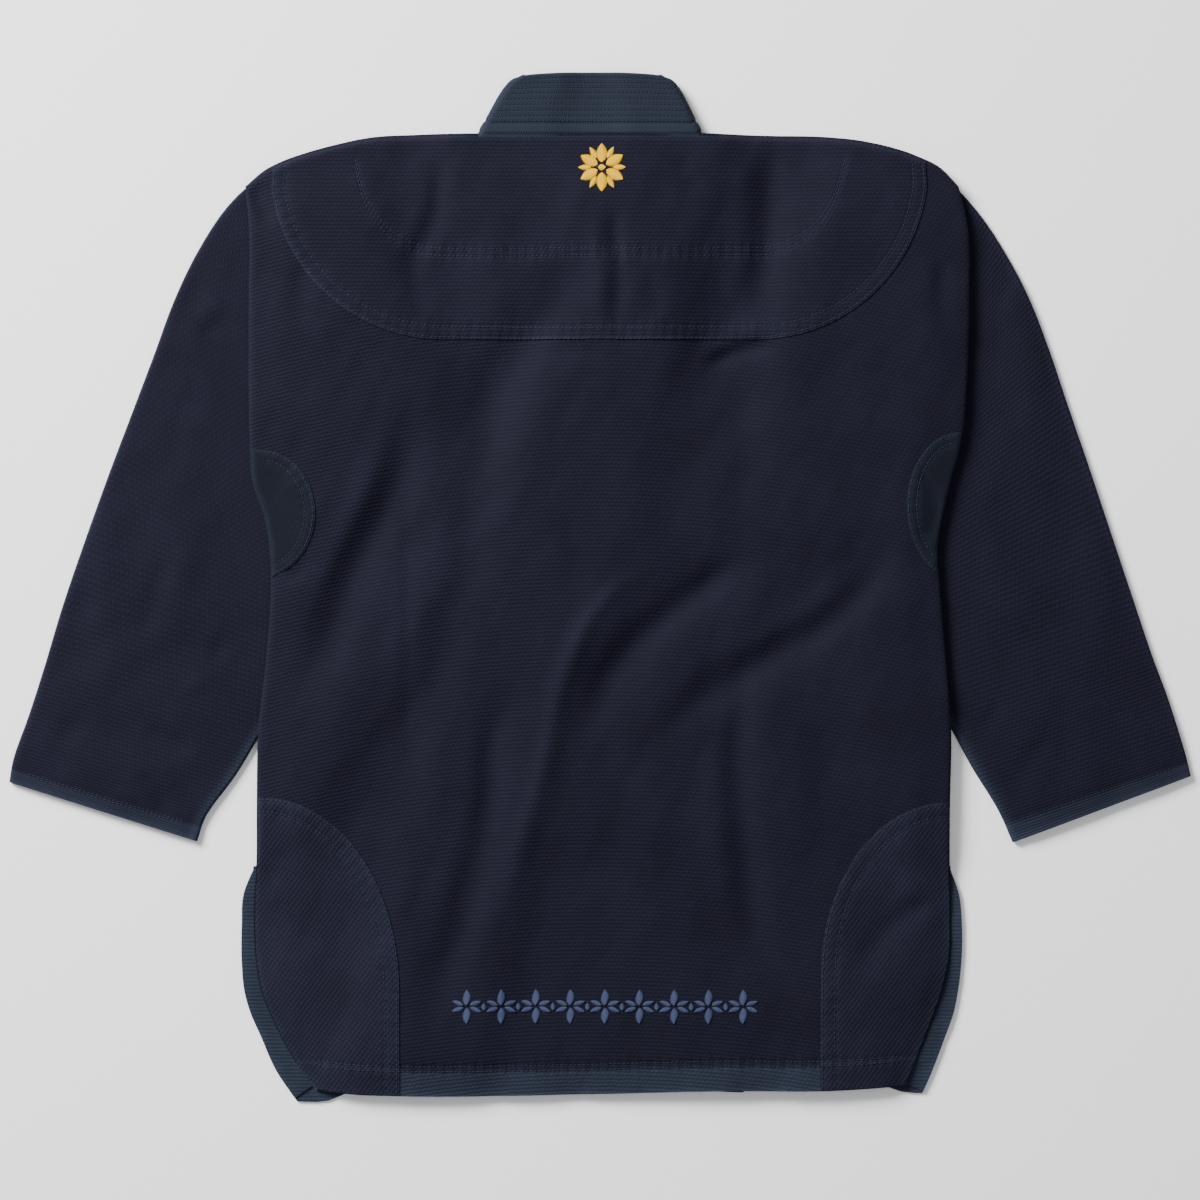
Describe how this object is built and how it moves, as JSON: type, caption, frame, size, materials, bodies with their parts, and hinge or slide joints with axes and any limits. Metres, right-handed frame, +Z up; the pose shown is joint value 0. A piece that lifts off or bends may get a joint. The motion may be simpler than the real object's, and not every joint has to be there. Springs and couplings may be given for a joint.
{
  "type": "jiu-jitsu gi jacket",
  "caption": "Dark navy martial-arts jacket laid flat on its front with its back up, with a thick collar band, spread sleeves, shoulder yoke and sewn-on reinforcements.",
  "frame": {"origin": "on the floor under the middle of the jacket's outline", "axes": "+Z up from the floor the jacket lies on, +Y towards the collar, +X towards the wearer's right, which is at the right of the picture"},
  "size_m": [0.968, 0.8441, 0.0197],
  "materials": {
    "body_cloth": "matte pearl weave",
    "skirt_cloth": "matte diamond weave",
    "band_cloth": "matte ribbed cotton over a firm core",
    "trim_cloth": "matte twill"
  },
  "bodies": {
    "root": {"armpit_patch_left": "trim_cloth", "armpit_patch_right": "trim_cloth", "back_panel": "body_cloth", "collar_neck": "band_cloth", "front_panel_left": "body_cloth", "front_panel_right": "body_cloth", "lapel_left": "band_cloth", "lapel_right": "band_cloth", "shoulder_yoke": "body_cloth", "skirt_patch_left": "skirt_cloth", "skirt_patch_right": "skirt_cloth", "sleeve_left": "body_cloth", "sleeve_right": "body_cloth", "vent_tape_left": "trim_cloth", "vent_tape_right": "trim_cloth"}
  },
  "joints": []
}
